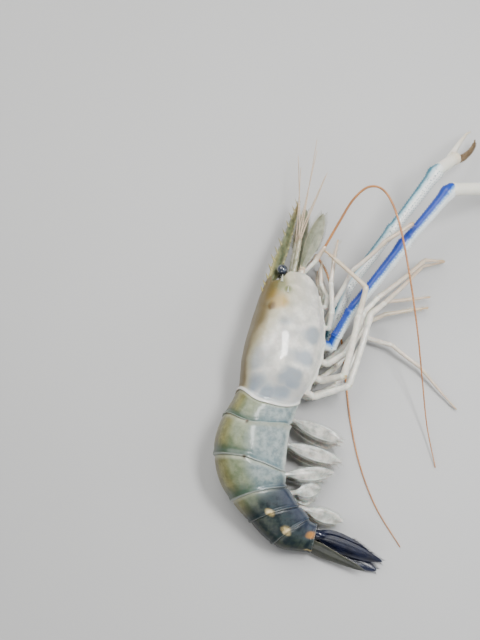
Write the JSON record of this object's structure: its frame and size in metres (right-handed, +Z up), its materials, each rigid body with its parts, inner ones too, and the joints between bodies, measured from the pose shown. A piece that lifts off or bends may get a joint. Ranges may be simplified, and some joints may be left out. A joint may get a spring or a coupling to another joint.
{
  "type": "giant river prawn",
  "caption": "Whole giant river prawn lying on its side with its tail half curled, long thin claws reaching out, a toothed rostrum, feelers, legs and swimmerets.",
  "frame": {"origin": "on the floor, under the middle of the bounding box", "axes": "+Y runs towards the prawn's head, +X is its belly side where the legs reach, and +Z is up from the floor that it lies on"},
  "size_m": [0.2212, 0.2894, 0.0592],
  "materials": {
    "carapace_shell": "glossy",
    "pleon_shell": "glossy",
    "tail_shell": "glossy",
    "olive_shell": "satin",
    "ivory_shell": "satin",
    "blue_shell": "satin",
    "cream_shell": "satin",
    "brown_felt": "matte",
    "dark_eye": "glossy",
    "swimmeret": "satin",
    "orange_feeler": "satin"
  },
  "bodies": {
    "root": {"antenna_base_left": "ivory_shell", "antenna_base_right": "ivory_shell", "antenna_left_far": "orange_feeler", "antenna_left_near": "orange_feeler", "antenna_right_far": "orange_feeler", "antenna_right_near": "orange_feeler", "antennal_scale_left": "olive_shell", "antennal_scale_right": "olive_shell", "antennule_left": "ivory_shell", "antennule_right": "ivory_shell", "carapace": "carapace_shell", "claw_left_arm": "ivory_shell", "claw_left_finger": "brown_felt", "claw_left_hand": "cream_shell", "claw_left_wrist": "ivory_shell", "claw_right_arm": "blue_shell", "claw_right_finger": "cream_shell", "claw_right_hand": "cream_shell", "claw_right_wrist": "blue_shell", "eye_left": "dark_eye", "eye_right": "dark_eye", "head": "ivory_shell", "leg_1_left_lower": "ivory_shell", "leg_1_left_upper": "ivory_shell", "leg_1_right_lower": "ivory_shell", "leg_1_right_upper": "ivory_shell", "leg_3_left_lower": "ivory_shell", "leg_3_left_upper": "ivory_shell", "leg_3_right_lower": "ivory_shell", "leg_3_right_upper": "ivory_shell", "leg_4_left_lower": "ivory_shell", "leg_4_left_upper": "ivory_shell", "leg_4_right_lower": "ivory_shell", "leg_4_right_upper": "ivory_shell", "leg_5_left_lower": "ivory_shell", "leg_5_left_upper": "ivory_shell", "leg_5_right_lower": "ivory_shell", "leg_5_right_upper": "ivory_shell", "maxilliped_left": "ivory_shell", "maxilliped_right": "ivory_shell", "pleon_1": "pleon_shell", "pleon_2": "pleon_shell", "pleon_3": "pleon_shell", "pleon_4": "pleon_shell", "pleon_5": "pleon_shell", "pleon_6": "pleon_shell", "swimmeret_1_left": "swimmeret", "swimmeret_1_right": "swimmeret", "swimmeret_2_left": "swimmeret", "swimmeret_2_right": "swimmeret", "swimmeret_3_left": "swimmeret", "swimmeret_3_right": "swimmeret", "swimmeret_4_left": "swimmeret", "swimmeret_4_right": "swimmeret", "swimmeret_5_left": "swimmeret", "swimmeret_5_right": "swimmeret", "telson": "olive_shell", "thorax": "ivory_shell", "uropod_left": "tail_shell", "uropod_right": "tail_shell"}
  },
  "joints": []
}
